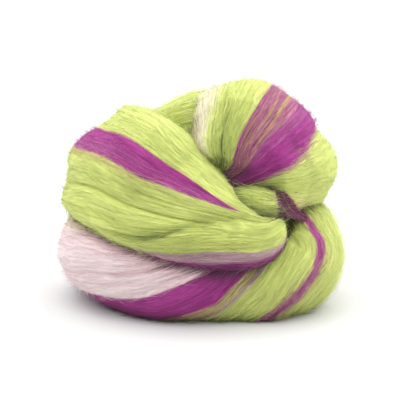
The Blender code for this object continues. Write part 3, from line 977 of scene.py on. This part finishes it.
def dye_place(name, station, line):
    """The place on the wheel, 0 to 1, of the two dyes that there is most of."""
    weights = [np.ones(station.shape)]  # all lime, until the other dyes cover it
    for dye in DYES:
        covered = dye_cover(name, dye, station, line) * (1 + 1 / BLEND) - rng.random(station.shape) / BLEND
        covered = np.clip(covered, 0, 1)
        weights = [weight * (1 - covered) for weight in weights] + [covered]
    weights = dict(zip(("lime",) + DYES, weights))
    most = np.sort(list(weights.values()), axis=0)[-2:]
    place = np.zeros(station.shape)
    for i, dye in enumerate(WHEEL):
        place = np.where(weights[dye] >= most[1], i, place)
    for i, (one, other) in enumerate(zip(WHEEL, WHEEL[1:])):
        here = np.minimum(weights[one], weights[other]) >= most[0]
        share = weights[other] / np.maximum(weights[one] + weights[other], 1e-9)
        place = np.where(here & (most[0] > LEAST_SHARE), i + share, place)
    return place / (len(WHEEL) - 1)


def lay_strands(name, kind, count):
    """Centre lines, outward normals, dyes and shades of one kind of strand on one pass."""
    _, points, short, long, _, _, slant, tip_low, tip_high = KINDS[kind]
    stations, lines, areas = OPEN[name]
    last = len(PASSES[name][0]) - 1
    pick = rng.choice(len(areas), count, p=areas / areas.sum())
    station = stations[pick] + rng.uniform(0, CELL[0], count)
    line = lines[pick] + rng.uniform(0, CELL[1], count)
    _, slope = curve_at(PASSES[name][0], station)
    half = 0.5 * rng.uniform(short, long, count)
    way = rng.choice((-1, 1), (count, 1))
    t = np.linspace(-1, 1, points)[None] * way
    mm_a_station = np.maximum(np.linalg.norm(slope[:, :3], axis=1), SHORTEST_STATION)
    at = np.clip(station[:, None] + (half / mm_a_station)[:, None] * t, STRAND_GAP, last - STRAND_GAP)
    slanting = rng.normal(0, slant, (count, 1)) * half[:, None] * t
    height = rng.uniform(*WANDER, (count, 1))
    phase = rng.uniform(0, 6.3, (count, 1))
    across = slanting + height * np.sin(half[:, None] * t / WAVE + phase)
    on = line[:, None] + across / girth_at(name, station)[:, None]
    middle = rng.uniform(*MIDDLE_LIFT, (count, 1))
    tip = rng.uniform(tip_low, tip_high, (count, 1))
    sinking = middle - (middle + SUNK) * t**SINK_CURVE
    lift = np.where(t * way < 0, sinking, middle + (tip - middle) * np.abs(t) ** LIFT_CURVE)
    normal = normal_at(name, at, on)
    centre = on_pass(name, at, on) + normal * lift[..., None]
    centre[..., 2] = np.maximum(centre[..., 2], ON_THE_FLOOR)
    middling, drift, own = SHADE
    shade = middling + drift * tone_at(name, station, line) + rng.normal(0, own, count)
    # painted shade from the same measures as on the strip darkens each strand
    shade = np.clip(shade, DARKEST, 1) * (1 - painted_shade(name, station, line))
    return centre, normal, dye_place(name, station, line), np.clip(shade, 0, 1)


total_area = sum(cells[2].sum() for cells in OPEN.values())
for kind, (many, _, _, _, thin, thick, _, _, _) in KINDS.items():
    for name, cells in OPEN.items():
        count = int(many * cells[2].sum() / total_area)
        if count >= FEWEST:
            centre, normal, dye, shade = lay_strands(name, kind, count)
            join_strands(f"{name}_{kind}", centre, normal, rng.uniform(thin, thick, count), dye, shade)

# %% [markdown]
# ## The strand in the throat
# Out of the throat comes one loose strand, magenta with a few lime fibres, which runs down between the
# lobe and the front band and becomes the thin stripe on the lower band. It is too soft to be a loft, so
# it is a bunch of strands along one path, wide above and drawn together below.

# %% The throat's strand
THROAT_PATH = np.array([  # mm, from the pit down to the lower band
    (35.2, -31, 61), (36.8, -33.2, 57), (38.5, -33.4, 53.5), (40.3, -32, 50.3),
    (43, -30.2, 47.6), (46.6, -29, 45.6), (50.2, -28.8, 42.5), (52.6, -29.4, 38.5),
])
THROAT_WIDTH = (5.5, 6.5, 7.5, 7.0, 5.0, 3.6, 3.2, 2.6)  # mm, at each point of the path
THROAT_SPREAD = 0.28  # of the strands, as a share of that width
THROAT_ACROSS = unit(np.array((0.8, 0.5, 0.2)))
THROAT_OUTWARDS = unit(np.array((0.45, -0.85, 0.25)))
THROAT_DEPTH = (-0.8, 0.5)  # mm, inwards and outwards of the path
THROAT_POINTS = 8  # of each strand
THROAT_SHARE = (0.45, 1)  # least and most of the path that a strand takes
THROAT_WAVE = (0.2, 3)  # height in mm, and radians from one point of the path to the next
THROAT_DYES = (1, 1, 1, 1, 5.5, 4.6, 0)  # places on the wheel, each as likely
THROAT_SHADE = (0.22, 0.12)  # middling, kept low as painted shade deep in the throat, and how much it differs
THROAT_SHADES = (0.06, 0.6)  # darkest and lightest
THROAT_RADIUS = (0.05, 0.1)  # mm
count = 260
last = len(THROAT_PATH) - 1
t = np.linspace(0, 1, THROAT_POINTS)[None] * rng.uniform(*THROAT_SHARE, (count, 1))
t = (t + (1 - t[:, -1:]) * rng.random((count, 1))) * last
centre = np.stack([np.interp(t, range(last + 1), column) for column in THROAT_PATH.T], axis=-1)
offset = rng.normal(0, THROAT_SPREAD, (count, 1)) * np.interp(t, range(last + 1), THROAT_WIDTH)
offset = offset + THROAT_WAVE[0] * np.sin(t * THROAT_WAVE[1] + rng.uniform(0, 6, (count, 1)))
outwards = np.broadcast_to(THROAT_OUTWARDS, centre.shape)
centre = centre + offset[..., None] * THROAT_ACROSS + outwards * rng.uniform(*THROAT_DEPTH, (count, 1, 1))
dye = rng.choice(THROAT_DYES, count) / (len(WHEEL) - 1)
shade = np.clip(rng.normal(*THROAT_SHADE, count), *THROAT_SHADES)
join_strands("throat_strand", centre, outwards, rng.uniform(*THROAT_RADIUS, count), dye, shade)

# %% [markdown]
# ## Floor, light and camera
# The ball was photographed on white, under large soft lights, with a long lens a little above the table.
# The light comes from a painted sky: bright overhead and at the sides, and dim from behind the camera,
# so that the roundness shows. Close to the horizon it is even, which leaves the background white.

# %% Floor
PAPER_REACH = 4  # metres from its middle to its edges
PAPER_SHIFT = (0, 2, -0.0001)  # metres: more of it behind the ball than in front, and just below it
PAPER_COLOUR = "#D4D4D4"
bm = bmesh.new()
bmesh.ops.create_grid(bm, x_segments=1, y_segments=1, size=PAPER_REACH)
bmesh.ops.translate(bm, vec=PAPER_SHIFT, verts=bm.verts)
paper = bpy.data.materials.new("white_paper")
paper.use_nodes = True
inputs = {"Base_Color": linear(PAPER_COLOUR), "Roughness": 0.9}
feed(paper.node_tree, paper.node_tree.nodes["Principled BSDF"], inputs)
floor = in_scene("floor", mesh_of(bm, "floor", paper))
print("floor:", 2 * PAPER_REACH, "m across")

# %% Light
# Height in the sky (0 the horizon, 1 overhead) and brightness there: a lit sweep, pale walls, a lamp above.
SKY = [(0, 1.03), (0.05, 1.03), (0.12, 1.8), (0.5, 1.85), (0.7, 2.4), (1, 2.55)]
SKY_TOP = 2.6
DARKER_IN_FRONT = 0.95  # the room behind the camera is dimmer than the lit sweep behind the ball
DARKER_BEHIND = 0.45  # and the sweep is a little dimmer than the two sides
BRIGHTER_AT_SIDES = 0.45
BRIGHTER_AT_RIGHT = 0.1
RISE = (0.05, 0.15)  # the heights between which the sky becomes uneven
world = bpy.data.worlds.new("studio")
world.use_nodes = True
tree = world.node_tree
direction = add(tree, "TexCoord").outputs["Generated"]
axes = add(tree, "SeparateXYZ", Vector=direction).outputs
stops = [(at, [brightness / SKY_TOP] * 3 + [1]) for at, brightness in SKY]
sky = add(tree, "ValToRGB", stops=stops, Fac=axes["Z"]).outputs["Color"]
aside = add(tree, "Math", operation="ABSOLUTE", i0=axes["X"]).outputs[0]
behind = add(tree, "Math", operation="MULTIPLY", i0=axes["Y"], i1=-DARKER_BEHIND).outputs[0]
in_front = add(tree, "Math", operation="MULTIPLY", i0=axes["Y"], i1=DARKER_IN_FRONT).outputs[0]
uneven = add(tree, "Math", operation="MINIMUM", i0=in_front, i1=behind).outputs[0]
raised = add(tree, "MapRange", Value=axes["Z"], From_Min=RISE[0], From_Max=RISE[1]).outputs["Result"]
for way, amount in ((aside, BRIGHTER_AT_SIDES), (axes["X"], BRIGHTER_AT_RIGHT)):
    uneven = add(tree, "Math", operation="MULTIPLY_ADD", i0=way, i1=amount, i2=uneven).outputs[0]
level = add(tree, "Math", operation="MULTIPLY_ADD", i0=uneven, i1=raised, i2=1.0).outputs[0]
strength = add(tree, "Math", operation="MULTIPLY", i0=level, i1=SKY_TOP).outputs[0]
feed(tree, tree.nodes["Background"], {"Color": sky, "Strength": strength})
bpy.context.scene.world = world
bpy.context.scene.view_settings.view_transform = "Standard"
print("sky:", [brightness for _, brightness in SKY])

# %% Camera
CAMERA_DISTANCE = 0.520  # metres
CAMERA_ELEVATION = math.radians(15)
AIM = Vector((0.8, -4.9, 47.5)) * MM  # what the middle of the picture shows
lens = bpy.data.cameras.new("camera")
lens.lens = 100  # mm
lens.sensor_width = 36  # mm
camera = in_scene("camera", lens)
back = Vector((0, -math.cos(CAMERA_ELEVATION), math.sin(CAMERA_ELEVATION)))
camera.location = AIM + back * CAMERA_DISTANCE
camera.rotation_euler = (-back).to_track_quat("-Z", "Y").to_euler()
bpy.context.scene.camera = camera
print("camera, mm:", [round(side / MM) for side in camera.location])
